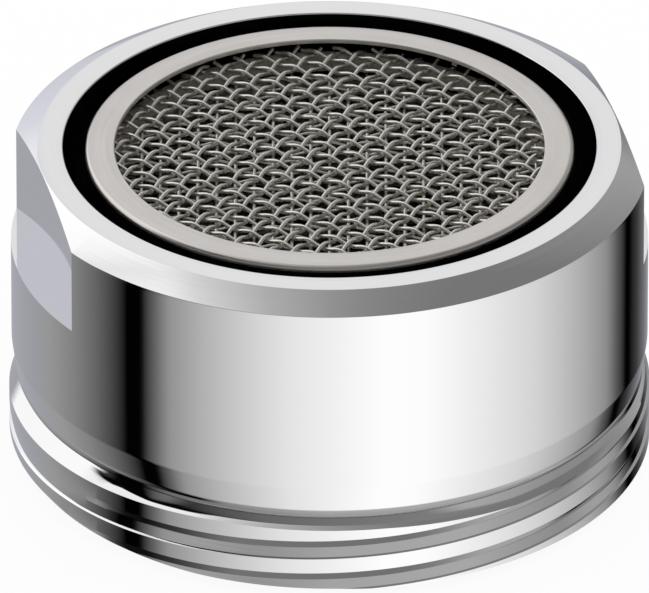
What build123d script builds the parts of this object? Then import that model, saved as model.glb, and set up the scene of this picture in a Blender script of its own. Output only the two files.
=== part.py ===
from build123d import *
import os
from math import radians, tan

# Tap aerator, standing on the inlet face of its washer with the outlet screen up.
# The axis of the thread is Z, and z = 0 is the washer's inlet face. Sizes are millimetres.

# Housing, turned from brass bar: sizes across, from the thread inwards and back out to the body
thread_diameter = 23.95
thread_relief = 0.34
relief_wall = 0.935
shoulder_width = 0.775
neck_width = 0.105
bevel_width = 0.135
outlet_face_width = 0.925
flat_wall = 0.975

# Housing: sizes along the axis
housing_height = 12.3
thread_lead_in = 0.25
thread_length = 2.65
thread_flank = 0.36
neck_height = 0.35
bevel_height = 0.99
flat_height = 3.95
outlet_chamfer_angle = 30.0

# Clamped stack at the inlet end: washer, strainer flange, jet plate flange and cup flange
flange_clearance = 0.1
washer_thickness = 1.8
washer_proud = 0.3
washer_width = 2.35
strainer_wall = 0.4
jet_flange = 0.8

# Screen cup, drawn from stainless sheet
air_gap = 0.825
cup_wall = 0.3
cup_recess = 0.05
cup_lip_width = 0.8
cup_lip_break = 0.12
step_width = 0.6
window_count = 8
window_width = 4.0
window_height = 1.8
window_sill = 0.3

# Screens, plain-woven from stainless wire, coarser than the real cloth, and the rings between them
outlet_wire_count = 12
inner_wire_count = 6
wire_size = 0.18
wire_bite = 0.2
screen_clearance = 0.4
screen_play = 0.1
screen_spacing = 1.0
outlet_screen_turn = 43.0
middle_screen_turn = -13.0
inner_screen_turn = 20.0
spacer_width = 0.35

# Jet plate, moulded
plug_clearance = 0.15
plug_height = 1.0
jet_diameter = 1.0
jet_sides = 8
jet_inner_ring = 3.2
jet_inner_count = 8
jet_outer_ring = 6.4
jet_outer_count = 14

# Inlet strainer, moulded as a shallow basket
strainer_clearance = 0.25
strainer_depth = 1.3
strainer_hub_radius = 1.3
strainer_ring_width = 0.6
strainer_rim_width = 0.5
strainer_slot_width = 0.7
strainer_inner_slots = 8
strainer_outer_slots = 16

# Radii that follow from the sizes above
thread_radius = thread_diameter / 2
relief_radius = thread_radius - thread_relief
counterbore_radius = relief_radius - relief_wall
flange_radius = counterbore_radius - flange_clearance
bore_radius = counterbore_radius - shoulder_width
neck_radius = relief_radius + neck_width
body_radius = neck_radius + bevel_width
outlet_face_radius = bore_radius + outlet_face_width
flat_distance = bore_radius + flat_wall
cup_radius = bore_radius - air_gap
cup_inner_radius = cup_radius - cup_wall
lip_radius = cup_inner_radius - cup_lip_width
waist_radius = cup_radius - step_width
waist_inner_radius = cup_inner_radius - step_width
screen_radius = cup_inner_radius - screen_clearance

# Heights that follow from the sizes above
housing_base = washer_proud
outlet_height = housing_base + housing_height
strainer_top = washer_thickness + strainer_wall
jet_flange_top = strainer_top + jet_flange
shoulder_height = jet_flange_top + cup_wall
plug_top = jet_flange_top + plug_height
cup_top = outlet_height - cup_recess
crimp = wire_size * (1 - wire_bite) / 2
screen_thickness = wire_size + 2 * crimp
spacer_height = screen_spacing - screen_thickness
outlet_screen_height = cup_top - cup_wall - screen_play - screen_thickness / 2
middle_screen_height = outlet_screen_height - screen_spacing
inner_screen_height = middle_screen_height - screen_spacing

os.makedirs("parts", exist_ok=True)

# Housing: one turned profile, then two spanner flats milled from the outlet end down to a ledge
thread_end = housing_base + thread_length
relief_height = thread_end + thread_flank
neck_end = relief_height + neck_height
chamfer_drop = (body_radius - outlet_face_radius) * tan(radians(outlet_chamfer_angle))
with BuildPart() as housing:
    with BuildSketch(Plane.XZ):
        with BuildLine():
            Polyline(
                (counterbore_radius, housing_base),
                (thread_radius - thread_lead_in, housing_base),
                (thread_radius, housing_base + thread_lead_in),
                (thread_radius, thread_end),
                (relief_radius, relief_height),
                (neck_radius, neck_end),
                (body_radius, neck_end + bevel_height),
                (body_radius, outlet_height - chamfer_drop),
                (outlet_face_radius, outlet_height),
                (bore_radius, outlet_height),
                (bore_radius, shoulder_height),
                (counterbore_radius, shoulder_height),
                close=True,
            )
        make_face()
    revolve(axis=Axis.Z)
    with BuildSketch(Plane.XY.offset(outlet_height)):
        Rectangle(2 * body_radius, 2 * body_radius)
        Rectangle(2 * flat_distance, 2 * body_radius, mode=Mode.SUBTRACT)
    extrude(amount=-flat_height, mode=Mode.SUBTRACT)
housing.part.label = "housing"
export_step(housing.part, "parts/housing.step")

# Screen cup: flange under the housing's shoulder, waist with air windows, step, lip over the screens.
# The step is at 45 degrees, so the lowest screen's edge meets it at its own radius.
flange_under = shoulder_height - cup_wall
step_top = inner_screen_height - screen_thickness / 2 + screen_clearance
step_bottom = step_top - step_width
with BuildPart() as screen_cup:
    with BuildSketch(Plane.XZ) as cup_profile:
        with BuildLine():
            Polyline(
                (waist_inner_radius, flange_under),
                (flange_radius, flange_under),
                (flange_radius, shoulder_height),
                (waist_radius, shoulder_height),
                (waist_radius, step_bottom),
                (cup_radius, step_top),
                (cup_radius, cup_top),
                (lip_radius, cup_top),
                (lip_radius, cup_top - cup_wall),
                (cup_inner_radius, cup_top - cup_wall),
                (cup_inner_radius, step_top),
                (waist_inner_radius, step_bottom),
                close=True,
            )
        make_face()
        chamfer(cup_profile.vertices().group_by(Axis.Y)[-1], cup_lip_break)
    revolve(axis=Axis.Z)
    with BuildSketch(Plane.XY.offset(plug_top + window_sill)):
        with PolarLocations(waist_radius, window_count):
            Rectangle(2 * step_width + 2 * cup_wall, window_width)
    extrude(amount=window_height, mode=Mode.SUBTRACT)
screen_cup.part.label = "screen_cup"
export_step(screen_cup.part, "parts/screen_cup.step")


def crimped_wire(count, pitch, first_side):
    """A wire along X that zigzags over and under the wires it crosses, over the first if first_side is 1."""
    half_width = wire_size / 2
    end = count * pitch / 2
    crossings = [(crossing + 0.5) * pitch - end for crossing in range(count)]
    peaks = [(along, first_side * crimp * (-1) ** number) for number, along in enumerate(crossings)]
    centre_line = [(-end, 0), *peaks, (end, 0)]
    upper_side = [(along, height + half_width) for along, height in centre_line]
    lower_side = [(along, height - half_width) for along, height in reversed(centre_line)]
    with BuildPart() as wire:
        with BuildSketch(Plane.XZ):
            with BuildLine():
                Polyline(*upper_side, *lower_side, close=True)
            make_face()
        extrude(amount=half_width, both=True)
    return wire.part


def woven_disc(count):
    """Plain weave about the origin: wires laid both ways, each over and under the next, trimmed round."""
    pitch = (2 * screen_radius + wire_size) / count
    over_first = crimped_wire(count, pitch, 1)
    under_first = crimped_wire(count, pitch, -1)
    rows = [(row + 0.5 - count / 2) * pitch for row in range(count)]
    with BuildPart() as disc:
        with Locations(*[(0, row) for row in rows[::2]]):
            add(over_first)
        with Locations(*[(0, row) for row in rows[1::2]]):
            add(under_first)
        with Locations(*[(row, 0) for row in rows[::2]]):
            add(under_first, rotation=(0, 0, 90))
        with Locations(*[(row, 0) for row in rows[1::2]]):
            add(over_first, rotation=(0, 0, 90))
        Cylinder(screen_radius, 2 * screen_thickness, mode=Mode.INTERSECT)
    return disc.part


# Outlet screen, under the cup's lip: the one in full view, with the finer weave
with BuildPart() as outlet_screen:
    with Locations(Location((0, 0, outlet_screen_height), (0, 0, outlet_screen_turn))):
        add(woven_disc(outlet_wire_count))
outlet_screen.part.label = "outlet_screen"
export_step(outlet_screen.part, "parts/outlet_screen.step")

# Middle and inner screens: woven discs further in, each turned against the one above
inner_weave = woven_disc(inner_wire_count)
with BuildPart() as middle_screen:
    with Locations(Location((0, 0, middle_screen_height), (0, 0, middle_screen_turn))):
        add(inner_weave)
middle_screen.part.label = "middle_screen"
export_step(middle_screen.part, "parts/middle_screen.step")

with BuildPart() as inner_screen:
    with Locations(Location((0, 0, inner_screen_height), (0, 0, inner_screen_turn))):
        add(inner_weave)
inner_screen.part.label = "inner_screen"
export_step(inner_screen.part, "parts/inner_screen.step")

# Spacers: one ring between each two screens, standing on the lower one's wires
with BuildPart() as outlet_spacer:
    with BuildSketch(Plane.XY.offset(middle_screen_height + screen_thickness / 2)):
        Circle(screen_radius)
        Circle(screen_radius - spacer_width, mode=Mode.SUBTRACT)
    extrude(amount=spacer_height)
outlet_spacer.part.label = "outlet_spacer"
export_step(outlet_spacer.part, "parts/outlet_spacer.step")

with BuildPart() as inner_spacer:
    with BuildSketch(Plane.XY.offset(inner_screen_height + screen_thickness / 2)):
        Circle(screen_radius)
        Circle(screen_radius - spacer_width, mode=Mode.SUBTRACT)
    extrude(amount=spacer_height)
inner_spacer.part.label = "inner_spacer"
export_step(inner_spacer.part, "parts/inner_spacer.step")

# Jet plate: a flange clamped under the cup's, a plug that centres it in the cup's waist, rings of jets
plug_radius = waist_inner_radius - plug_clearance
with BuildPart() as jet_plate:
    with BuildSketch(Plane.XY.offset(strainer_top)):
        Circle(flange_radius)
    extrude(amount=jet_flange)
    with BuildSketch(Plane.XY.offset(jet_flange_top)):
        Circle(plug_radius)
    extrude(amount=plug_height)
    with BuildSketch(Plane.XY.offset(strainer_top)):
        with PolarLocations(jet_inner_ring, jet_inner_count):
            RegularPolygon(jet_diameter / 2, jet_sides)
        with PolarLocations(jet_outer_ring, jet_outer_count):
            RegularPolygon(jet_diameter / 2, jet_sides)
    extrude(amount=jet_flange + plug_height, mode=Mode.SUBTRACT)
jet_plate.part.label = "jet_plate"
export_step(jet_plate.part, "parts/jet_plate.step")

# Inlet strainer: a flange clamped by the washer and a basket with a slotted floor inside its hole
washer_inner_radius = flange_radius - washer_width
basket_radius = washer_inner_radius - strainer_clearance
basket_floor = washer_thickness - strainer_depth
slotted_width = basket_radius - strainer_wall - strainer_rim_width - strainer_hub_radius
slot_length = (slotted_width - strainer_ring_width) / 2
inner_slot_ring = strainer_hub_radius + slot_length / 2
outer_slot_ring = inner_slot_ring + slot_length + strainer_ring_width
with BuildPart() as inlet_strainer:
    with BuildSketch(Plane.XY.offset(washer_thickness)):
        Circle(flange_radius)
    extrude(amount=strainer_wall)
    with BuildSketch(Plane.XY.offset(basket_floor)):
        Circle(basket_radius)
    extrude(amount=strainer_depth)
    with BuildSketch(Plane.XY.offset(basket_floor + strainer_wall)):
        Circle(basket_radius - strainer_wall)
    extrude(amount=strainer_depth, mode=Mode.SUBTRACT)
    with BuildSketch(Plane.XY.offset(basket_floor)):
        with PolarLocations(inner_slot_ring, strainer_inner_slots):
            Rectangle(slot_length, strainer_slot_width)
        with PolarLocations(outer_slot_ring, strainer_outer_slots):
            Rectangle(slot_length, strainer_slot_width)
    extrude(amount=strainer_wall, mode=Mode.SUBTRACT)
inlet_strainer.part.label = "inlet_strainer"
export_step(inlet_strainer.part, "parts/inlet_strainer.step")

# Sealing washer: a flat ring that stands proud of the housing's end face
with BuildPart() as sealing_washer:
    with BuildSketch():
        Circle(flange_radius)
        Circle(washer_inner_radius, mode=Mode.SUBTRACT)
    extrude(amount=washer_thickness)
sealing_washer.part.label = "sealing_washer"
export_step(sealing_washer.part, "parts/sealing_washer.step")
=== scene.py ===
# %% [markdown]
# A tap aerator, the little insert that screws into the end of a spout and mixes air into the water.
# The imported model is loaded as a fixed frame, and each of its ten pieces is then modelled again with the
# finish that the real one has: chromed brass, pressed steel, woven wire, moulded plastic and rubber.
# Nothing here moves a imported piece. A piece that is modelled again stands exactly where its node does.

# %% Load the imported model
import math
import random

import bpy
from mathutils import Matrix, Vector


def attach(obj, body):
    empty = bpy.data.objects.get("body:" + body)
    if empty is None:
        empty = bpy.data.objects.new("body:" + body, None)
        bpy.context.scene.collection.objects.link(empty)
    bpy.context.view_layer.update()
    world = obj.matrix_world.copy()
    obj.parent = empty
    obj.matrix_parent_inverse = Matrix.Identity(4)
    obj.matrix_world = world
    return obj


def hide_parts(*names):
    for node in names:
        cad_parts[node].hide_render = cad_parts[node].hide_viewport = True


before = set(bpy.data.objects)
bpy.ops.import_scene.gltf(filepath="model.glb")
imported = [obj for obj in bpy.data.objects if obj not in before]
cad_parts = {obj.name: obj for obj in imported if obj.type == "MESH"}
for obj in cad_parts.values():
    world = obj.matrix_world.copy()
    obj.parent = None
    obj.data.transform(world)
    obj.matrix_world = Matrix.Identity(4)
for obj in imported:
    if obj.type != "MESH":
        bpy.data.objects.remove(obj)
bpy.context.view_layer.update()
scene = bpy.context.scene
scene.view_settings.view_transform = "Standard"
print("nodes in the frame:", sorted(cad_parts))

# %% [markdown]
# Every piece below is drawn in millimetres, because Blender's bevels and booleans are happier with a
# 24-unit object than with a 0.024-unit one. One scale at the end turns millimetres into metres and is
# applied, so that each finished object sits at the origin, unscaled, with its place in its mesh.
# Operators act on everything that is selected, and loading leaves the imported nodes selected, so each
# piece starts by letting go of everything. Small rounded edges would bend the shading of the wide faces
# beside them, which shows at once on a mirror, so each piece ends with a Weighted Normal modifier.

# %% Small helpers: letting go, picking by place, cutting and finishing
METRES_PER_MM = 0.001
WELD_DISTANCE = 0.0005
PLACE_TOLERANCE = 1e-4
SMOOTH_ANGLE = math.radians(18)


def let_go():
    """Leaves edit mode and deselects every object."""
    if bpy.context.object and bpy.context.object.mode == "EDIT":
        bpy.ops.object.mode_set(mode="OBJECT")
    bpy.ops.object.select_all(action="DESELECT")


def make_active(piece):
    let_go()
    piece.select_set(True)
    bpy.context.view_layer.objects.active = piece


def pick_vertices(piece, is_wanted):
    """Selects, in edit mode, the vertices whose place passes the test."""
    bpy.ops.object.mode_set(mode="EDIT")
    bpy.ops.mesh.select_mode(type="VERT")
    bpy.ops.mesh.select_all(action="DESELECT")
    bpy.ops.object.mode_set(mode="OBJECT")
    for vertex in piece.data.vertices:
        vertex.select = is_wanted(vertex.co)
    bpy.ops.object.mode_set(mode="EDIT")


def pick_faces(piece, is_wanted):
    """Selects, in edit mode, the faces whose centre and normal pass the test."""
    bpy.ops.object.mode_set(mode="EDIT")
    bpy.ops.mesh.select_mode(type="FACE")
    bpy.ops.mesh.select_all(action="DESELECT")
    bpy.ops.object.mode_set(mode="OBJECT")
    for face in piece.data.polygons:
        face.select = is_wanted(face.center, face.normal)
    bpy.ops.object.mode_set(mode="EDIT")


def close_up(piece):
    """Welds doubled vertices and turns every face outwards."""
    make_active(piece)
    bpy.ops.object.mode_set(mode="EDIT")
    bpy.ops.mesh.select_all(action="SELECT")
    bpy.ops.mesh.remove_doubles(threshold=WELD_DISTANCE)
    bpy.ops.mesh.normals_make_consistent(inside=False)
    bpy.ops.object.mode_set(mode="OBJECT")


def cut_away(piece, cutters):
    """Subtracts the cutters from the piece and removes them."""
    let_go()
    for cutter in cutters:
        cutter.select_set(True)
    bpy.context.view_layer.objects.active = cutters[0]
    if len(cutters) > 1:
        bpy.ops.object.join()
    cutter = bpy.context.object
    make_active(piece)
    cut = piece.modifiers.new("cut", "BOOLEAN")
    cut.operation = "DIFFERENCE"
    cut.solver = "EXACT"
    cut.object = cutter
    bpy.ops.object.modifier_apply(modifier=cut.name)
    bpy.data.objects.remove(cutter)


def set_in_frame(piece, node, finish, smooth_angle=SMOOTH_ANGLE):
    """Turns millimetres into metres, gives the piece its body and its finish, and hides the node it stands
    for.
    """
    make_active(piece)
    piece.scale = (METRES_PER_MM,) * 3
    bpy.ops.object.transform_apply(location=True, rotation=True, scale=True)
    bpy.ops.object.shade_smooth_by_angle(angle=smooth_angle)
    even = piece.modifiers.new("even_shading", "WEIGHTED_NORMAL")
    even.keep_sharp = True
    bpy.ops.object.modifier_apply(modifier=even.name)
    piece.data.materials.clear()
    piece.data.materials.append(finish)
    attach(piece, "root")
    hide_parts(node)
    triangles = sum(len(face.vertices) - 2 for face in piece.data.polygons)
    print(f"{piece.name}: {triangles} triangles, stands for {node}")


print("metres in a millimetre:", METRES_PER_MM)

# %% [markdown]
# Most of the aerator is turned or drawn round one axis, so its pieces are outlines spun about Z.
# An outline starts as a plane merged to one point, which is extruded from corner to corner and filled.
# While it is still flat, the vertex bevel rounds each corner by its own amount, as a turning tool with a
# nose radius does. Only the outline's edges are then spun, so no wall is left inside.

# %% Outlines and spinning
TURN_STEPS = 360
ROUND_SEGMENTS = 6


def draw_outline(name, corners):
    """One flat face in the XZ plane from (radius, height, rounding) corners, in millimetres."""
    let_go()
    bpy.ops.mesh.primitive_plane_add(size=1.0)
    piece = bpy.context.object
    piece.name = piece.data.name = name
    bpy.ops.object.mode_set(mode="EDIT")
    bpy.ops.mesh.select_mode(type="VERT")
    bpy.ops.mesh.select_all(action="SELECT")
    bpy.ops.mesh.merge(type="CENTER")
    bpy.ops.mesh.select_all(action="SELECT")
    bpy.ops.transform.translate(value=(corners[0][0], 0, corners[0][1]))
    for (radius, height, _), (next_radius, next_height, _) in zip(corners, corners[1:]):
        step = (next_radius - radius, 0, next_height - height)
        bpy.ops.mesh.extrude_vertices_move(TRANSFORM_OT_translate={"value": step})
    bpy.ops.mesh.select_all(action="SELECT")
    bpy.ops.mesh.edge_face_add()
    for rounding in sorted({corner[2] for corner in corners if corner[2]}):
        rounded = [Vector((corner[0], 0, corner[1])) for corner in corners if corner[2] == rounding]
        pick_vertices(
            piece, lambda place: any((place - corner).length < PLACE_TOLERANCE for corner in rounded)
        )
        bpy.ops.mesh.bevel(offset=rounding, segments=ROUND_SEGMENTS, affect="VERTICES")
    bpy.ops.object.mode_set(mode="OBJECT")
    return piece


def spin_outline(piece):
    """Spins the outline's edges once round Z into a closed solid."""
    make_active(piece)
    bpy.ops.object.mode_set(mode="EDIT")
    bpy.ops.mesh.select_all(action="SELECT")
    bpy.ops.mesh.delete(type="ONLY_FACE")
    bpy.ops.mesh.select_all(action="SELECT")
    bpy.ops.mesh.spin(steps=TURN_STEPS, angle=math.tau, center=(0, 0, 0), axis=(0, 0, 1))
    close_up(piece)
    print(f"{piece.name}: spun to {len(piece.data.polygons)} faces")
    return piece


print("degrees in a step of a spin:", 360 / TURN_STEPS)

# %% [markdown]
# Materials come next. Several of them show the same three effects, so these are node groups with named
# inputs: turning marks, the fine rings that a lathe or a press leaves round the axis, blotches, the soft
# uneven patches that keep a wide surface from looking computed, and depth, a mask for what lies inside a
# radius and under a height, which picks out where painted shade goes, where the polish stops and where a
# rougher finish goes. All read Object coordinates, so a pattern stays put on its piece, and all put out
# plain values that each material uses in its own way.

# %% Node helpers and the shared effects
NOISE_LOW = 0.3
NOISE_HIGH = 0.7


def add_math(tree, operation, first, second=None):
    """A Math node: each input is a socket or a number."""
    node = tree.nodes.new("ShaderNodeMath")
    node.operation = operation
    for socket, value in zip(node.inputs, (first, second)):
        if isinstance(value, bpy.types.NodeSocket):
            tree.links.new(value, socket)
        elif value is not None:
            socket.default_value = value
    return node.outputs[0]


def new_group(name, inputs, outputs):
    """A shader node group with float inputs and outputs, and its two end nodes."""
    group = bpy.data.node_groups.new(name, "ShaderNodeTree")
    for socket_name, value in inputs.items():
        socket = group.interface.new_socket(socket_name, in_out="INPUT", socket_type="NodeSocketFloat")
        socket.default_value = value
    for socket_name in outputs:
        group.interface.new_socket(socket_name, in_out="OUTPUT", socket_type="NodeSocketFloat")
    start = group.nodes.new("NodeGroupInput")
    end = group.nodes.new("NodeGroupOutput")
    return group, start, end


def split_place(group):
    """The parts of the Object coordinates and the distance from the Z axis."""
    coordinates = group.nodes.new("ShaderNodeTexCoord")
    parts = group.nodes.new("ShaderNodeSeparateXYZ")
    group.links.new(coordinates.outputs["Object"], parts.inputs[0])
    across = add_math(group, "MULTIPLY", parts.outputs["X"], parts.outputs["X"])
    away = add_math(group, "MULTIPLY", parts.outputs["Y"], parts.outputs["Y"])
    return parts, add_math(group, "SQRT", add_math(group, "ADD", across, away))


def build_turning_marks():
    """Rings round Z: noise that runs fast along the radius and the height and slowly round the axis."""
    group, start, end = new_group("turning_marks", {"Rings per metre": 9000.0, "Sweep": 60.0}, ["Mark"])
    parts, radius = split_place(group)
    ring = add_math(group, "ADD", radius, parts.outputs["Z"])
    vector = group.nodes.new("ShaderNodeCombineXYZ")
    rings, sweep = start.outputs["Rings per metre"], start.outputs["Sweep"]
    group.links.new(add_math(group, "MULTIPLY", ring, rings), vector.inputs["X"])
    group.links.new(add_math(group, "MULTIPLY", parts.outputs["X"], sweep), vector.inputs["Y"])
    group.links.new(add_math(group, "MULTIPLY", parts.outputs["Y"], sweep), vector.inputs["Z"])
    noise = group.nodes.new("ShaderNodeTexNoise")
    noise.inputs["Scale"].default_value = 1.0
    noise.inputs["Detail"].default_value = 3.0
    group.links.new(vector.outputs[0], noise.inputs["Vector"])
    group.links.new(noise.outputs[0], end.inputs["Mark"])
    return group


def build_blotches():
    """Soft uneven patches between 0 and 1."""
    group, start, end = new_group("blotches", {"Patches per metre": 400.0}, ["Patch"])
    coordinates = group.nodes.new("ShaderNodeTexCoord")
    noise = group.nodes.new("ShaderNodeTexNoise")
    noise.inputs["Detail"].default_value = 4.0
    group.links.new(coordinates.outputs["Object"], noise.inputs["Vector"])
    group.links.new(start.outputs["Patches per metre"], noise.inputs["Scale"])
    group.links.new(noise.outputs[0], end.inputs["Patch"])
    return group


def build_depth():
    """1 inside a radius and under a height, 0 outside, with a soft edge between."""
    group, start, end = new_group("depth", {"Radius": 0.01, "Height": 0.012, "Edge": 0.0001}, ["Inside"])
    parts, radius = split_place(group)
    nearer = add_math(group, "SUBTRACT", start.outputs["Radius"], radius)
    lower = add_math(group, "SUBTRACT", start.outputs["Height"], parts.outputs["Z"])
    inside = add_math(group, "DIVIDE", add_math(group, "MINIMUM", nearer, lower), start.outputs["Edge"])
    bounded = add_math(group, "MINIMUM", add_math(group, "MAXIMUM", inside, 0.0), 1.0)
    group.links.new(bounded, end.inputs["Inside"])
    return group


turning_marks = build_turning_marks()
blotches = build_blotches()
depth = build_depth()


def place_group(tree, group, **values):
    node = tree.nodes.new("ShaderNodeGroup")
    node.node_tree = group
    for name, value in values.items():
        node.inputs[name.replace("_", " ")].default_value = value
    return node.outputs[0]


def spread(tree, value, low, high):
    """Maps a noise value, which stays near the middle, onto the range from low to high."""
    node = tree.nodes.new("ShaderNodeMapRange")
    node.inputs["From Min"].default_value = NOISE_LOW
    node.inputs["From Max"].default_value = NOISE_HIGH
    node.inputs["To Min"].default_value = low
    node.inputs["To Max"].default_value = high
    tree.links.new(value, node.inputs["Value"])
    return node.outputs[0]


def blend_colours(tree, share, first, second):
    """From the first colour to the second: each is a socket or three numbers."""
    node = tree.nodes.new("ShaderNodeMix")
    node.data_type = "RGBA"
    for socket, colour in ((node.inputs["A"], first), (node.inputs["B"], second)):
        if isinstance(colour, bpy.types.NodeSocket):
            tree.links.new(colour, socket)
        else:
            socket.default_value = (*colour, 1)
    tree.links.new(share, node.inputs["Factor"])
    return node.outputs["Result"]


def blend_values(tree, share, first, second):
    """From the first value to the second: each is a socket or a number."""
    rest = add_math(tree, "SUBTRACT", 1.0, share)
    kept = add_math(tree, "MULTIPLY", rest, first)
    return add_math(tree, "ADD", kept, add_math(tree, "MULTIPLY", share, second))


def bump(tree, height, distance, strength, shader):
    node = tree.nodes.new("ShaderNodeBump")
    node.inputs["Distance"].default_value = distance
    node.inputs["Strength"].default_value = strength
    tree.links.new(height, node.inputs["Height"])
    tree.links.new(node.outputs[0], shader.inputs["Normal"])


def new_finish(name):
    """A material with its Principled shader."""
    finish = bpy.data.materials.new(name)
    finish.use_nodes = True
    return finish, finish.node_tree, finish.node_tree.nodes["Principled BSDF"]


print("shared effects:", [group.name for group in bpy.data.node_groups])

# %% [markdown]
# Chrome on turned brass is a near-perfect mirror, so its look is almost all reflection. What tells it
# from a computed mirror is the turning under the plating: very fine rings. The body is polished, so the
# plating levels them there. The chamfer and the outlet face are left as turned, and there the rings smear
# the edge of a reflection into streaks. The bore is rougher and painted nearly black, as painted shade
# for the deep narrow gap between the bore and the cup. A thin band in the sharp corner between the neck
# and the thread is painted dark grey, as painted shade in that corner.

# %% Chromed brass
BORE_SHADE_RADIUS = 0.00995
BORE_SHADE_HEIGHT = 0.01252
POLISHED_HEIGHT = 0.01201
CORNER_LOW = 0.00331
CORNER_HIGH = 0.00338
CORNER_EDGE = 0.00002
WHOLE_RADIUS = 0.02
PLATING = (0.9, 0.9, 0.905)
# Painted shade: dark grey for the sharp corner between the neck and the thread.
CORNER_SHADE = (0.24, 0.24, 0.24)
# Painted shade: near black for the bore, shaded by the deep gap round the cup.
BORE_SHADE = (0.012, 0.011, 0.01)
BORE_ROUGHNESS = 0.5
POLISHED_SHARE = 0.1
CHROME_RING_DEPTH = 0.000008


def make_chrome():
    finish, tree, shader = new_finish("chromed_brass")
    shader.inputs["Metallic"].default_value = 1.0
    marks = place_group(tree, turning_marks, Rings_per_metre=14000.0, Sweep=90.0)
    patches = place_group(tree, blotches, Patches_per_metre=260.0)
    bore = place_group(tree, depth, Radius=BORE_SHADE_RADIUS, Height=BORE_SHADE_HEIGHT)
    polished = place_group(tree, depth, Radius=WHOLE_RADIUS, Height=POLISHED_HEIGHT)
    under_corner = place_group(tree, depth, Radius=WHOLE_RADIUS, Height=CORNER_LOW, Edge=CORNER_EDGE)
    to_corner = place_group(tree, depth, Radius=WHOLE_RADIUS, Height=CORNER_HIGH, Edge=CORNER_EDGE)
    # Painted shade: a thin band in the corner between the neck and the thread is darkened.
    corner = add_math(tree, "SUBTRACT", to_corner, under_corner)
    plating_with_corner_shade = blend_colours(tree, corner, PLATING, CORNER_SHADE)
    # Painted shade: the bore is painted nearly black in the base colour.
    tree.links.new(blend_colours(tree, bore, plating_with_corner_shade, BORE_SHADE), shader.inputs["Base Color"])
    mirror = spread(tree, patches, 0.03, 0.06)
    tree.links.new(blend_values(tree, bore, mirror, BORE_ROUGHNESS), shader.inputs["Roughness"])
    ring_height = add_math(tree, "MULTIPLY", marks, blend_values(tree, polished, 1.0, POLISHED_SHARE))
    bump(tree, ring_height, CHROME_RING_DEPTH, 0.5, shader)
    return finish


chrome = make_chrome()
print("nodes in the chrome:", len(chrome.node_tree.nodes))

# %% [markdown]
# The screen cup is drawn from stainless sheet and left satin: a broad soft reflection, slightly warm,
# with rolling marks round the lip. Only the lip keeps the steel's own colour: further down, the cup's wall
# is painted nearly black, as painted shade for the deep gap inside the housing. The spacers, further in,
# are cut from the same sheet, blasted matt and left out of that painted shade. The wires of the screens
# are the same steel, drawn thin and brighter. The innermost screen is painted dark, as painted shade deep
# in the stack.

# %% Stainless sheet and stainless wire
BRIGHT_HEIGHT = 0.01233
BRIGHT_EDGE = 0.00003
SHADE_FREE_RADIUS = 0.0087
INNER_SCREEN_SHADE_HEIGHT = 0.0105
# Painted shade: near black for the cup's wall below the lip.
WALL_SHADE = (0.03, 0.028, 0.025)
# Painted shade: dark for the innermost screen, deep in the stack.
INNER_SCREEN_SHADE = (0.045, 0.042, 0.037)
BLASTED_ROUGHNESS = 0.45
SHEET_RING_DEPTH = 0.000006


def make_sheet_steel():
    finish, tree, shader = new_finish("stainless_sheet")
    shader.inputs["Metallic"].default_value = 1.0
    patches = place_group(tree, blotches, Patches_per_metre=700.0)
    marks = place_group(tree, turning_marks, Rings_per_metre=9000.0, Sweep=200.0)
    lower = place_group(tree, depth, Radius=WHOLE_RADIUS, Height=BRIGHT_HEIGHT, Edge=BRIGHT_EDGE)
    shade_free = place_group(tree, depth, Radius=SHADE_FREE_RADIUS, Height=BRIGHT_HEIGHT, Edge=BRIGHT_EDGE)
    # Painted shade: the sheet below the lip, apart from the spacers, is painted nearly black.
    wall_shade_mask = add_math(tree, "SUBTRACT", lower, shade_free)
    warm_steel = blend_colours(tree, patches, (0.77, 0.735, 0.69), (0.84, 0.81, 0.77))
    shaded_steel = blend_colours(tree, wall_shade_mask, warm_steel, WALL_SHADE)
    tree.links.new(shaded_steel, shader.inputs["Base Color"])
    satin = spread(tree, marks, 0.3, 0.42)
    blasted = add_math(tree, "MULTIPLY", shade_free, BLASTED_ROUGHNESS)
    tree.links.new(add_math(tree, "ADD", satin, blasted), shader.inputs["Roughness"])
    bump(tree, marks, SHEET_RING_DEPTH, 0.3, shader)
    return finish


def make_wire_steel():
    finish, tree, shader = new_finish("stainless_wire")
    shader.inputs["Metallic"].default_value = 1.0
    patches = place_group(tree, blotches, Patches_per_metre=2500.0)
    drawn_steel = blend_colours(tree, patches, (0.88, 0.85, 0.78), (0.97, 0.95, 0.89))
    # Painted shade: the innermost screen is painted dark.
    inner_screen_shade_mask = place_group(tree, depth, Radius=WHOLE_RADIUS, Height=INNER_SCREEN_SHADE_HEIGHT)
    shaded_steel = blend_colours(tree, inner_screen_shade_mask, drawn_steel, INNER_SCREEN_SHADE)
    tree.links.new(shaded_steel, shader.inputs["Base Color"])
    tree.links.new(spread(tree, patches, 0.23, 0.32), shader.inputs["Roughness"])
    return finish


sheet_steel = make_sheet_steel()
wire_steel = make_wire_steel()
print("nodes in the steels:", len(sheet_steel.node_tree.nodes), len(wire_steel.node_tree.nodes))

# %% [markdown]
# The hidden pieces at the inlet end are moulded: the jet plate in black acetal, the strainer in pale
# nylon, and the washer in black rubber. Plastic gets a fine spark-eroded grain, rubber a coarser one
# with a dusty bloom where the blotches are high.

# %% Plastics and rubber
ROUGHNESS_RANGE = 0.06


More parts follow.
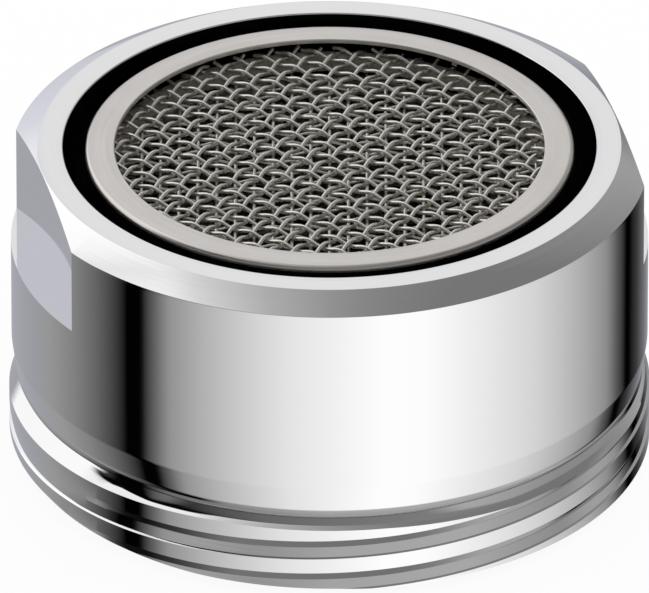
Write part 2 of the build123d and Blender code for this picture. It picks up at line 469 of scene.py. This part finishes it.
def make_moulded(name, dark, light, roughness, grains_per_metre, grain_depth):
    finish, tree, shader = new_finish(name)
    patches = place_group(tree, blotches, Patches_per_metre=500.0)
    grain = place_group(tree, blotches, Patches_per_metre=grains_per_metre)
    tree.links.new(blend_colours(tree, patches, dark, light), shader.inputs["Base Color"])
    uneven = spread(tree, patches, roughness - ROUGHNESS_RANGE, roughness + ROUGHNESS_RANGE)
    tree.links.new(uneven, shader.inputs["Roughness"])
    bump(tree, grain, grain_depth, 0.5, shader)
    return finish


pale_plastic = make_moulded("pale_plastic", (0.78, 0.77, 0.73), (0.84, 0.83, 0.8), 0.42, 6000.0, 0.00001)
black_plastic = make_moulded("black_plastic", (0.012,) * 3, (0.022,) * 3, 0.4, 6000.0, 0.00001)
black_rubber = make_moulded("black_rubber", (0.015,) * 3, (0.045,) * 3, 0.7, 3500.0, 0.00002)
print("moulded finishes:", [finish.name for finish in (pale_plastic, black_plastic, black_rubber)])

# %% [markdown]
# The housing is turned from brass bar. Its outline runs up the outside from the inlet end: thread, relief,
# neck, bevel, plain body, chamfer and outlet face, and back down the bore to the shoulder that the cup
# hangs on. The spanner flats are milled after turning, so here too they are cut from the spun body.

# %% Housing: turned body with two spanner flats
thread_radius = 11.975
relief_radius = 11.635
neck_radius = 11.74
body_radius = 11.875
outlet_face_radius = 10.85
bore_radius = 9.925
counterbore_radius = 10.7
housing_base = 0.3
lead_in = 0.38
thread_end = 2.95
relief_height = 3.31
neck_end = 3.66
bevel_end = 4.65
chamfer_start = 12.008
outlet_height = 12.6
shoulder_height = 3.3
flat_distance = 10.9
flat_ledge = 8.65
edge_break = 0.05
keen_edge = 0.01

thread_base_radius = thread_radius - lead_in
housing = spin_outline(
    draw_outline(
        "chromed_housing",
        [
            (counterbore_radius, housing_base, edge_break),
            (thread_base_radius, housing_base, 0),
            (relief_radius, relief_height, 0),
            (neck_radius, neck_end, edge_break),
            (body_radius, bevel_end, edge_break),
            (body_radius, chamfer_start, keen_edge),
            (outlet_face_radius, outlet_height, keen_edge),
            (bore_radius, outlet_height, edge_break),
            (bore_radius, shoulder_height, 0),
            (counterbore_radius, shoulder_height, 0),
        ],
    )
)

flat_depth = 2 * (body_radius - flat_distance)
flat_length = 2 * body_radius
flat_top = outlet_height + edge_break
cutters = []
for side in (-1, 1):
    let_go()
    middle = (side * (flat_distance + flat_depth / 2), 0, (flat_ledge + flat_top) / 2)
    bpy.ops.mesh.primitive_cube_add(size=1.0, location=middle)
    bpy.ops.transform.resize(value=(flat_depth, flat_length, flat_top - flat_ledge))
    bpy.ops.object.transform_apply(location=True, scale=True)
    cutters.append(bpy.context.object)
cut_away(housing, cutters)
print("spanner size in mm:", 2 * flat_distance)

# %% [markdown]
# The thread could be a Screw modifier, but its ends have to run out into the lead-in and the relief. So
# its form is written as a rule, the radius at any height and bearing, and a grid is laid on it further
# down. The thread has two starts, so it climbs two pitches in a turn. The crests are flat bands with a
# broken upper edge. From there a plain slope goes down to the root, and another comes out again under
# the next crest. The root is shallower at the left, where a turn starts. What changes round the housing
# is a list of stops, each a turn past the front in degrees with its values, and a line joins them.

# %% Housing: form of the thread
thread_pitch = 1.374
thread_starts = 2
thread_lead = thread_starts * thread_pitch
crest_half = 0.3
break_depth = 0.075
break_height = 0.043
root_offset = 0.74
crest_height = 1.4375
crest_bearing = math.radians(256.9)
under_crest = thread_pitch - crest_half
form_offsets = (-crest_half, crest_half, crest_half + break_height, root_offset, under_crest)
root_depths = [(-180, 0.13), (-130, 0.13), (-110, 0.036), (-62, 0.036), (-42, 0.13), (180, 0.13)]


def turn_past_front(bearing):
    """Degrees from the front, between -180 and 180."""
    return (math.degrees(bearing - crest_bearing) + 180) % 360 - 180


def at_turn(stops, bearing):
    """Values at a bearing, between the stops before and after it."""
    turn = turn_past_front(bearing)
    for (start, *values), (stop, *next_values) in zip(stops, stops[1:]):
        if turn <= stop:
            share = (turn - start) / (stop - start)
            return [value + (after - value) * share for value, after in zip(values, next_values)]
    return stops[-1][1:]


def threaded_radius(height, bearing):
    """Radius of the thread's form at a height and bearing."""
    crest = crest_height + thread_lead * (bearing - crest_bearing) / math.tau
    offset = (height - crest + crest_half) % thread_pitch - crest_half
    drops = (0.0, 0.0, break_depth, *at_turn(root_depths, bearing), 0.0)
    form = list(zip(form_offsets, drops))
    for (start, drop), (stop, next_drop) in zip(form, form[1:]):
        if offset <= stop:
            return thread_radius - drop - (next_drop - drop) * (offset - start) / (stop - start)
    return thread_radius


print("offsets in one pitch:", [round(offset, 3) for offset in form_offsets])

# %% [markdown]
# Above the last crest the tool runs out and leaves a flank that falls to the relief. It starts at the
# crest's upper edge where the crest is low, and cuts the crest off where it climbs too high. The flank
# bends on its way in, and on chrome the place of that bend decides which lamp shows, so it has stops of
# its own. A weighted curve rounds the bend. At the inlet end the lead-in cuts the turns off too, and it
# is taller where a turn starts.

# %% Housing: run-out and lead-in
free_flank_start = -145
free_flank_end = 10
flank_starts = [
    (-180, thread_end),
    (free_flank_start, thread_end),
    (-100, 2.348),
    (-21, thread_end),
    (free_flank_end, thread_end),
    (35, 2.777),
    (120, 2.777),
    (180, thread_end),
]
flank_corners = [
    (-180, 0.32, 0.58),
    (-145, 0.32, 0.58),
    (-120, 0.95, 0.97),
    (-53, 0.95, 0.97),
    (-46.5, 0.68, 0.94),
    (-42, 0.36, 0.82),
    (-34.5, 0.2, 0.5),
    (-24, 0.3, 0.55),
    (35, 0.32, 0.58),
    (55, 0.5, 0.9),
    (110, 0.5, 0.9),
    (140, 0.32, 0.58),
    (180, 0.32, 0.58),
]
lead_in_heights = [
    (-180, 0.12),
    (-130, 0.12),
    (-105, 0.5),
    (-58, 0.5),
    (-42, 0.2),
    (-25, 0.12),
    (180, 0.12),
]
corner_weight = 4.0
flank_rows = 6


def flank_start(bearing):
    """Height at which the run-out flank leaves the thread."""
    return at_turn(flank_starts, bearing)[0]


def flank_is_free(bearing):
    """True where the flank starts at the crest's own upper edge, with no crest above to cut."""
    return free_flank_start < turn_past_front(bearing) < free_flank_end


def run_out(share, bearing):
    """Radius and height on the flank, which bends at its own share of the height and the depth."""
    height_share, depth_share = at_turn(flank_corners, bearing)
    low = Vector((thread_radius, flank_start(bearing)))
    high = Vector((relief_radius, relief_height))
    rise = high - low
    corner = low + Vector((rise.x * depth_share, rise.y * height_share))
    weights = ((1 - share) ** 2, 2 * corner_weight * share * (1 - share), share**2)
    return (weights[0] * low + weights[1] * corner + weights[2] * high) / sum(weights)


print("flank bends at", len(flank_corners), "stops round the housing")

# %% [markdown]
# Now a flat grid is rolled up: its columns become angles and its rows follow the helix, so that every
# crest and root has its own line of edges. A row stops at the lead-in below and at the flank above, and
# the last rows lie on the flank. The plain band of the spun body is taken out and the rolled thread is
# welded in its place.

# %% Housing: rolled thread
first_crest = crest_height - thread_lead * crest_bearing / math.tau
lowest_turn = math.floor((housing_base - thread_lead - first_crest) / thread_pitch)
highest_turn = math.ceil((thread_end - first_crest) / thread_pitch)
row_heights = [
    first_crest + turn * thread_pitch + offset
    for turn in range(lowest_turn, highest_turn + 1)
    for offset in form_offsets[:-1]
]

let_go()
flank_row = 1 + len(row_heights)
row_count = flank_row + flank_rows
bpy.ops.mesh.primitive_grid_add(x_subdivisions=TURN_STEPS, y_subdivisions=row_count - 1, size=1.0)
rolled = bpy.context.object
for vertex in rolled.data.vertices:
    column = round((vertex.co.x + 0.5) * TURN_STEPS)
    row = round((vertex.co.y + 0.5) * (row_count - 1))
    bearing = column / TURN_STEPS * math.tau
    if row == 0:
        radius, height = thread_base_radius, housing_base
    elif row < flank_row:
        height = row_heights[row - 1] + thread_lead * column / TURN_STEPS
        lead_in_end = housing_base + at_turn(lead_in_heights, bearing)[0]
        height = min(max(height, lead_in_end), flank_start(bearing))
        radius = threaded_radius(height, bearing)
    else:
        radius, height = run_out((row - flank_row + 1) / flank_rows, bearing)
        if not flank_is_free(bearing):
            radius = min(radius, threaded_radius(height, bearing))
    vertex.co = (radius * math.cos(bearing), radius * math.sin(bearing), height)

make_active(housing)
pick_faces(
    housing,
    lambda centre, normal: housing_base < centre.z < relief_height
    and centre.xy.length > relief_radius - edge_break,
)
bpy.ops.mesh.delete(type="ONLY_FACE")
bpy.ops.object.mode_set(mode="OBJECT")
rolled.select_set(True)
bpy.ops.object.join()
close_up(housing)
set_in_frame(housing, "housing", chrome)
print("thread pitch in mm:", thread_pitch, "rows:", row_count)

# %% [markdown]
# The screen cup is one deep-drawn piece: a flange that hangs on the housing's shoulder, a waist with air
# windows, a step that carries the screens, and an in-turned lip that shows as the satin ring at the
# outlet. Its corners are bends rather than cuts, so they get generous rounding. The lip's hole and the
# windows are punched, and a punch breaks through with a taper under a narrow clean land.

# %% Screen cup
flange_radius = 10.6
cup_radius = 9.1
cup_wall = 0.3
step_width = 0.6
lip_radius = 8.0
cup_top = 12.55
screen_gap = 0.4
inner_screen_height = 9.988
screen_half = 0.162
cup_inner_radius = cup_radius - cup_wall
waist_radius = cup_radius - step_width
waist_inner_radius = cup_inner_radius - step_width
step_top = inner_screen_height - screen_half + screen_gap
step_bottom = step_top - step_width
lip_bend = 0.19
lip_edge = 0.05
lip_land = 0.16
lip_taper = 0.38
sheet_edge = 0.05

cup = spin_outline(
    draw_outline(
        "screen_cup_drawn",
        [
            (waist_inner_radius, shoulder_height - cup_wall, sheet_edge),
            (flange_radius, shoulder_height - cup_wall, sheet_edge),
            (flange_radius, shoulder_height, sheet_edge),
            (waist_radius, shoulder_height, sheet_edge),
            (waist_radius, step_bottom, sheet_edge),
            (cup_radius, step_top, sheet_edge),
            (cup_radius, cup_top, lip_bend),
            (lip_radius, cup_top, lip_edge),
            (lip_radius, cup_top - lip_land, 0),
            (lip_radius + lip_taper, cup_top - cup_wall, 0),
            (cup_inner_radius, cup_top - cup_wall, sheet_edge),
            (cup_inner_radius, step_top, sheet_edge),
            (waist_inner_radius, step_bottom, sheet_edge),
        ],
    )
)

window_count = 8
window_width = 4.0
window_low = 4.3
window_high = 6.1
window_reach = 1.8
punches = []
for number in range(window_count):
    let_go()
    bpy.ops.mesh.primitive_cube_add(size=1.0, location=(waist_radius, 0, (window_low + window_high) / 2))
    bpy.ops.transform.resize(value=(window_reach, window_width, window_high - window_low))
    turn = number / window_count * math.tau
    bpy.ops.transform.rotate(value=-turn, orient_axis="Z", center_override=(0, 0, 0))
    bpy.ops.object.transform_apply(location=True, rotation=True, scale=True)
    punches.append(bpy.context.object)
cut_away(cup, punches)
set_in_frame(cup, "screen_cup", sheet_steel)

# %% [markdown]
# The screens are plain-woven wire cloth punched into discs. Every wire goes over one crossing wire and
# under the next, so its line is a wave whose half-length is the mesh. Both ways of the cloth bend, one a
# little more than the other. One curve object holds all the wires of a screen: each is a spline cut to its
# chord of the disc, a little uneven at its ends as punched cloth is, and the curve's bevel gives it its
# thickness. The three screens are turned against each other, and a hidden one has fewer sides to its wire.

# %% Woven screens
mesh_pitch = 0.7
wire_thickness = 0.155
screen_radius = 8.4
screen_spacing = 1.0
points_per_crossing = 6
end_unevenness = 0.12
bend_shares = (0.48, 0.61)
wire_smooth_angle = math.radians(80)
middle_screen_height = inner_screen_height + screen_spacing
outlet_screen_height = middle_screen_height + screen_spacing


def wave_height(along, row, way):
    """Height of a wire's middle line: over one crossing, under the next, and opposite in the next row."""
    return bend_shares[way] * wire_thickness * math.cos(math.pi * (along / mesh_pitch + row + way))


def weave_screen(name, height, turn, corners, seed):
    """A disc of woven wire at a height, turned about Z, as a mesh."""
    draw = random.Random(seed)
    cloth = bpy.data.curves.new(name, "CURVE")
    cloth.dimensions = "3D"
    cloth.bevel_depth = wire_thickness / 2
    cloth.bevel_resolution = corners
    cloth.use_fill_caps = True
    rows = int(screen_radius / mesh_pitch)
    for way in (0, 1):
        bearing = math.radians(turn + 90 * way)
        along_x, along_y = math.cos(bearing), math.sin(bearing)
        for row in range(-rows, rows + 1):
            across = row * mesh_pitch
            half = math.sqrt(screen_radius**2 - across**2)
            start = -half + draw.uniform(0, end_unevenness)
            stop = half - draw.uniform(0, end_unevenness)
            count = max(2, round((stop - start) / mesh_pitch * points_per_crossing))
            wire = cloth.splines.new("POLY")
            wire.points.add(count)
            for number, point in enumerate(wire.points):
                along = start + (stop - start) * number / count
                lift = wave_height(along, row, way)
                point.co = (
                    along * along_x - across * along_y,
                    along * along_y + across * along_x,
                    height + lift,
                    1,
                )
    let_go()
    screen = bpy.data.objects.new(name, cloth)
    scene.collection.objects.link(screen)
    make_active(screen)
    bpy.ops.object.convert(target="MESH")
    return bpy.context.object


screens = [
    ("outlet_screen", outlet_screen_height, -47.1, 2, 11),
    ("middle_screen", middle_screen_height, -13.1, 1, 12),
    ("inner_screen", inner_screen_height, 20.0, 0, 13),
]
for node, height, turn, corners, seed in screens:
    screen = weave_screen(f"{node}_woven", height, turn, corners, seed)
    set_in_frame(screen, node, wire_steel, wire_smooth_angle)

# %% [markdown]
# A ring keeps each two screens apart. On the bench they are narrow bands of sheet, so they are spun from
# a thin outline with its edges just broken.

# %% Spacer rings
spacer_width = 0.35
spacer_edge = 0.04


def spin_spacer(name, node, upper_screen_height):
    top = upper_screen_height - screen_half
    base = upper_screen_height - screen_spacing + screen_half
    ring = [
        (screen_radius - spacer_width, base, spacer_edge),
        (screen_radius, base, spacer_edge),
        (screen_radius, top, spacer_edge),
        (screen_radius - spacer_width, top, spacer_edge),
    ]
    set_in_frame(spin_outline(draw_outline(name, ring)), node, sheet_steel)


spin_spacer("outlet_spacer_ring", "outlet_spacer", outlet_screen_height)
spin_spacer("inner_spacer_ring", "inner_spacer", middle_screen_height)

# %% [markdown]
# The jet plate splits the water into fine jets. It starts as a cylinder of the flange's size. Its top face
# is inset and extruded to the plug that centres it in the cup's waist, the edges are bevelled, and the
# jets are drilled by a boolean with one joined set of drills.

# %% Jet plate
strainer_top = 2.2
jet_flange_top = 3.0
plug_top = 4.0
plug_clearance = 0.15
plug_radius = waist_inner_radius - plug_clearance
jet_radius = 0.5
jet_sides = 24
jet_rings = [(3.2, 8), (6.4, 14)]
drill_length = 4.0
moulded_edge = 0.05
moulded_edge_segments = 3
sharp_angle = math.radians(40)


def add_disc(name, radius, low, high):
    """A cylinder between two heights."""
    let_go()
    bpy.ops.mesh.primitive_cylinder_add(
        vertices=TURN_STEPS // 2, radius=radius, depth=high - low, location=(0, 0, (low + high) / 2)
    )
    piece = bpy.context.object
    piece.name = piece.data.name = name
    bpy.ops.object.transform_apply(location=True)
    return piece


def step_face(piece, upwards, inset, rise):
    """Insets the highest or lowest flat face and extrudes it along Z."""
    side = 1 if upwards else -1
    end = max(side * vertex.co.z for vertex in piece.data.vertices)
    pick_faces(
        piece,
        lambda centre, normal: side * normal.z > 0.9 and abs(side * centre.z - end) < PLACE_TOLERANCE,
    )
    bpy.ops.mesh.inset(thickness=inset, depth=0)
    bpy.ops.mesh.extrude_region_move(TRANSFORM_OT_translate={"value": (0, 0, rise)})
    bpy.ops.object.mode_set(mode="OBJECT")


def break_edges(piece):
    """Bevels every sharp edge a little."""
    make_active(piece)
    edges = piece.modifiers.new("edges", "BEVEL")
    edges.width = moulded_edge
    edges.segments = moulded_edge_segments
    edges.limit_method = "ANGLE"
    edges.angle_limit = sharp_angle
    bpy.ops.object.modifier_apply(modifier=edges.name)


jet_plate = add_disc("jet_plate_moulded", flange_radius, strainer_top, jet_flange_top)
step_face(jet_plate, True, flange_radius - plug_radius, plug_top - jet_flange_top)
break_edges(jet_plate)
drills = []
for ring_radius, count in jet_rings:
    for number in range(count):
        turn = number / count * math.tau
        place = (ring_radius * math.cos(turn), ring_radius * math.sin(turn), (strainer_top + plug_top) / 2)
        let_go()
        bpy.ops.mesh.primitive_cylinder_add(
            vertices=jet_sides, radius=jet_radius, depth=drill_length, location=place
        )
        drills.append(bpy.context.object)
cut_away(jet_plate, drills)
set_in_frame(jet_plate, "jet_plate", black_plastic)

# %% [markdown]
# The strainer is a shallow basket that keeps grit off the jets. It is a flange extruded down to the
# basket and hollowed from above. Two rings of slots are cut through its floor.

# %% Inlet strainer
washer_thickness = 1.8
strainer_wall = 0.4
strainer_depth = 1.3
washer_inner_radius = 8.25
basket_clearance = 0.25
basket_radius = washer_inner_radius - basket_clearance
slot_width = 0.7
slot_rings = [(2.3, 8), (4.9, 16)]
slot_length = 2.0
basket_floor = washer_thickness - strainer_depth
slot_height = basket_floor + strainer_wall / 2

strainer = add_disc("inlet_strainer_moulded", flange_radius, washer_thickness, strainer_top)
step_face(strainer, False, flange_radius - basket_radius, -strainer_depth)
step_face(strainer, True, flange_radius - basket_radius + strainer_wall, -strainer_depth)
break_edges(strainer)
slots = []
for ring_radius, count in slot_rings:
    for number in range(count):
        turn = number / count * math.tau
        let_go()
        bpy.ops.mesh.primitive_cube_add(size=1.0, location=(ring_radius, 0, slot_height))
        bpy.ops.transform.resize(value=(slot_length, slot_width, 2 * strainer_wall))
        bpy.ops.transform.rotate(value=-turn, orient_axis="Z", center_override=(0, 0, 0))
        bpy.ops.object.transform_apply(location=True, rotation=True, scale=True)
        slots.append(bpy.context.object)
cut_away(strainer, slots)
set_in_frame(strainer, "inlet_strainer", pale_plastic)

# %% [markdown]
# The washer is the flat rubber ring that the aerator stands on here and seals with in the spout. Cut
# rubber keeps soft corners, so its outline gets the widest rounding.

# %% Sealing washer
washer_edge = 0.15
washer = spin_outline(
    draw_outline(
        "sealing_washer_rubber",
        [
            (washer_inner_radius, 0, washer_edge),
            (flange_radius, 0, washer_edge),
            (flange_radius, washer_thickness, washer_edge),
            (washer_inner_radius, washer_thickness, washer_edge),
        ],
    )
)
set_in_frame(washer, "sealing_washer", black_rubber)

# %% [markdown]
# The camera looks down at 30 degrees from far away with a long lens, as a catalogue picture is taken, so
# the rings show as even ellipses. It aims a little to the left of the axis, as the picture does.

# %% Camera
view_azimuth = math.radians(-13.1)
view_elevation = math.radians(30)
camera_distance = 1.0
camera_lens = 1486.6
aim_height = 6.05
aim_left = 0.19

towards_camera = Vector(
    (
        math.sin(view_azimuth) * math.cos(view_elevation),
        -math.cos(view_azimuth) * math.cos(view_elevation),
        math.sin(view_elevation),
    )
)
camera_right = Vector((math.cos(view_azimuth), math.sin(view_azimuth), 0))
aim = (Vector((0, 0, aim_height)) - camera_right * aim_left) * METRES_PER_MM
let_go()
bpy.ops.object.camera_add(location=aim + towards_camera * camera_distance)
camera = bpy.context.object
camera.rotation_euler = (-towards_camera).to_track_quat("-Z", "Y").to_euler()
camera.data.lens = camera_lens
camera.data.sensor_width = 36.0
camera.data.clip_start = 0.01
camera.data.clip_end = 10.0
scene.camera = camera
print("camera stands", [round(value, 4) for value in camera.location])

# %% [markdown]
# Chrome shows the room, so the room is drawn with care: a white studio with a few grey and black flags.
# Four rows of panels go round the horizon, one over the other: the table close to the object, the floor,
# the walls and the lamps. Each stop of a row is an azimuth, a grey and how cool that grey is. The
# ceiling's row goes across it, from the big lamp on the left to the dim right, and straight below lies
# the object's own shade.

# %% Studio panels
chrome_share = 0.9
cool_tint = (0.95, 0.96, 1.05)


def tone(level):
    """Scene-linear value of a grey between 0 and 255."""
    share = level / 255
    if share <= 0.04045:
        return share / 12.92
    return ((share + 0.055) / 1.055) ** 2.4


table_panels = [
    (-180, 150, 0),
    (-136, 142, 0),
    (-124, 15, 0),
    (-103, 15, 0),
    (-96, 40, 0),
    (-76, 4, 0),
    (-66, 4, 0),
    (-54, 130, 0),
    (0, 174, 0),
    (180, 150, 0),
]
floor_panels = [
    (-180, 170, 1),
    (-140, 158, 1),
    (-123, 149, 0),
    (-107, 130, 0),
    (-94, 100, 0),
    (-90, 86, 0),
    (-79, 2, 0),
    (-72, 2, 0),
    (-66, 100, 0),
    (-60, 146, 0),
    (-45, 180, 0),
    (-15, 227, 0),
    (20, 253, 0),
    (35, 252, 0),
    (80, 211, 0),
    (120, 140, 0),
    (128, 88, 0),
    (136, 2, 0),
    (140, 2, 0),
    (149, 58, 0),
    (160, 110, 1),
    (180, 170, 1),
]
wall_panels = [
    (-180, 190, 1),
    (-160, 215, 1),
    (-148, 245, 0),
    (-88, 250, 0),
    (-85, 60, 0),
    (-80, 2, 0),
    (-70, 2, 0),
    (-60, 112, 0),
    (-45, 122, 0),
    (0, 163, 0),
    (48, 167, 0),
    (88, 137, 0),
    (118, 135, 0),
    (140, 160, 0),
    (151, 150, 0),
    (157, 125, 0),
    (166, 135, 1),
    (180, 190, 1),
]
lamp_panels = [
    (-180, 224, 0),
    (-165, 205, 1),
    (-152, 198, 1),
    (-144, 255, 0),
    (-134, 254, 0),
    (-125, 245, 0),
    (-117, 228, 0),
    (-108, 236, 0),
    (-91, 240, 0),
    (-86, 2, 0),
    (-58, 8, 0),
    (-45, 70, 0),
    (-25, 100, 0),
    (0, 112, 0),
    (50, 125, 0),
    (90, 115, 0),
    (117, 117, 0),
    (130, 132, 0),
    (150, 156, 0),
    (168, 210, 0),
    (180, 224, 0),
]
ceiling_panels = [
    (-1, 250, 0),
    (-0.56, 250, 0),
    (-0.46, 228, 0),
    (-0.34, 203, 0),
    (-0.18, 172, 0),
    (0, 146, 0),
    (0.09, 135, 0),
    (0.18, 127, 0),
    (0.34, 117, 0),
    (1, 117, 0),
]
shade_tone = 112
rows_of_panels = (table_panels, floor_panels, wall_panels, lamp_panels, ceiling_panels)
print("stops in the rows of panels:", [len(row) for row in rows_of_panels])

# %% [markdown]
# Lamps and cards could stand round the object, but a world is quicker to light and leaves nothing in the
# picture. Its colour follows the direction: each row of panels becomes a colour ramp, and the ramps give
# way to each other at set elevations, in degrees. The far edge of the floor is tilted a little, as seen in
# the chrome. Mirrors see the panels, the camera sees plain white, and matt surfaces get an even white.

# %% Studio world
shade_edge = (-70, -60)
table_edge = (-56, -48)
floor_edge = (-20, -16)
wall_edge = (15, 25)
lamp_edge = (58, 68)
floor_tilt = math.radians(3)
world = bpy.data.worlds.new("studio")
scene.world = world
world.use_nodes = True
world.cycles.sampling_method = "NONE"
studio = world.node_tree
studio.nodes.clear()


def panel_ramp(position, reach, panels):
    """A ramp from (place, tone, coolness) stops, whose places go from -reach to reach."""
    node = studio.nodes.new("ShaderNodeValToRGB")
    stops = node.color_ramp.elements
    stops[1].position = 1.0
    for number, (place, level, cool) in enumerate(panels):
        if number == 0:
            stop = stops[0]
        elif number == len(panels) - 1:
            stop = stops[len(stops) - 1]
        else:
            stop = stops.new((place + reach) / (2 * reach))
        value = tone(level) / chrome_share
        tint = [1 + cool * (share - 1) for share in cool_tint]
        stop.color = (value * tint[0], value * tint[1], value * tint[2], 1)
    studio.links.new(position, node.inputs[0])
    return node.outputs[0]


def mix_by_elevation(elevation, edge, below, above):
    """Goes from one colour to the other between the two elevations of an edge."""
    share = studio.nodes.new("ShaderNodeMapRange")
    share.interpolation_type = "SMOOTHSTEP"
    share.inputs["From Min"].default_value = math.radians(edge[0])
    share.inputs["From Max"].default_value = math.radians(edge[1])
    studio.links.new(elevation, share.inputs["Value"])
    return blend_colours(studio, share.outputs[0], below, above)


direction = studio.nodes.new("ShaderNodeTexCoord")
facing = studio.nodes.new("ShaderNodeVectorRotate")
facing.rotation_type = "Z_AXIS"
facing.inputs["Angle"].default_value = -view_azimuth
studio.links.new(direction.outputs["Generated"], facing.inputs["Vector"])
parts = studio.nodes.new("ShaderNodeSeparateXYZ")
studio.links.new(facing.outputs[0], parts.inputs[0])
forward = add_math(studio, "MULTIPLY", parts.outputs["Y"], -1.0)
azimuth = add_math(studio, "ARCTAN2", parts.outputs["X"], forward)
around = add_math(studio, "ADD", add_math(studio, "DIVIDE", azimuth, math.tau), 0.5)
elevation = add_math(studio, "ARCSINE", parts.outputs["Z"])
across = add_math(studio, "ADD", add_math(studio, "DIVIDE", parts.outputs["X"], 2.0), 0.5)
tilt = add_math(studio, "MULTIPLY", parts.outputs["X"], floor_tilt)
tilted = add_math(studio, "ADD", elevation, tilt)
shade = (tone(shade_tone) / chrome_share,) * 3
to_table = mix_by_elevation(elevation, shade_edge, shade, panel_ramp(around, 180, table_panels))
to_floor = mix_by_elevation(elevation, table_edge, to_table, panel_ramp(around, 180, floor_panels))
to_walls = mix_by_elevation(tilted, floor_edge, to_floor, panel_ramp(around, 180, wall_panels))
to_lamps = mix_by_elevation(elevation, wall_edge, to_walls, panel_ramp(around, 180, lamp_panels))
room = mix_by_elevation(elevation, lamp_edge, to_lamps, panel_ramp(across, 1, ceiling_panels))

rays = studio.nodes.new("ShaderNodeLightPath")
seen = blend_colours(studio, rays.outputs["Is Glossy Ray"], (1, 1, 1), room)
background = studio.nodes.new("ShaderNodeBackground")
output = studio.nodes.new("ShaderNodeOutputWorld")
studio.links.new(seen, background.inputs["Color"])
studio.links.new(background.outputs[0], output.inputs[0])
print("nodes in the studio:", len(studio.nodes))

# %% [markdown]
# The floor is a plain white sheet. For the camera it is mostly its own white, so that the picture stays
# as white as a catalogue page, and partly a matt surface, which keeps a soft contact shadow. Mirrors
# don't see it, because the studio has a floor of its own.

# %% Floor
floor_size = 6.0
floor_white = 0.92
sheet_grey = 0.95
let_go()
bpy.ops.mesh.primitive_plane_add(size=floor_size)
floor = bpy.context.object
floor.name = "studio_floor"
floor.visible_glossy = False
sheet = bpy.data.materials.new("floor_sheet")
sheet.use_nodes = True
floor.data.materials.append(sheet)
tree = sheet.node_tree
tree.nodes.clear()
matt = tree.nodes.new("ShaderNodeBsdfDiffuse")
matt.inputs["Color"].default_value = (sheet_grey, sheet_grey, sheet_grey, 1)
white = tree.nodes.new("ShaderNodeEmission")
white.inputs["Color"].default_value = (1, 1, 1, 1)
rays = tree.nodes.new("ShaderNodeLightPath")
blend = tree.nodes.new("ShaderNodeMixShader")
output = tree.nodes.new("ShaderNodeOutputMaterial")
tree.links.new(add_math(tree, "MULTIPLY", rays.outputs["Is Camera Ray"], floor_white), blend.inputs[0])
tree.links.new(matt.outputs[0], blend.inputs[1])
tree.links.new(white.outputs[0], blend.inputs[2])
tree.links.new(blend.outputs[0], output.inputs[0])
print("floor is", floor_size, "m wide")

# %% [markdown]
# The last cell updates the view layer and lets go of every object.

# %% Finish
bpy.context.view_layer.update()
let_go()
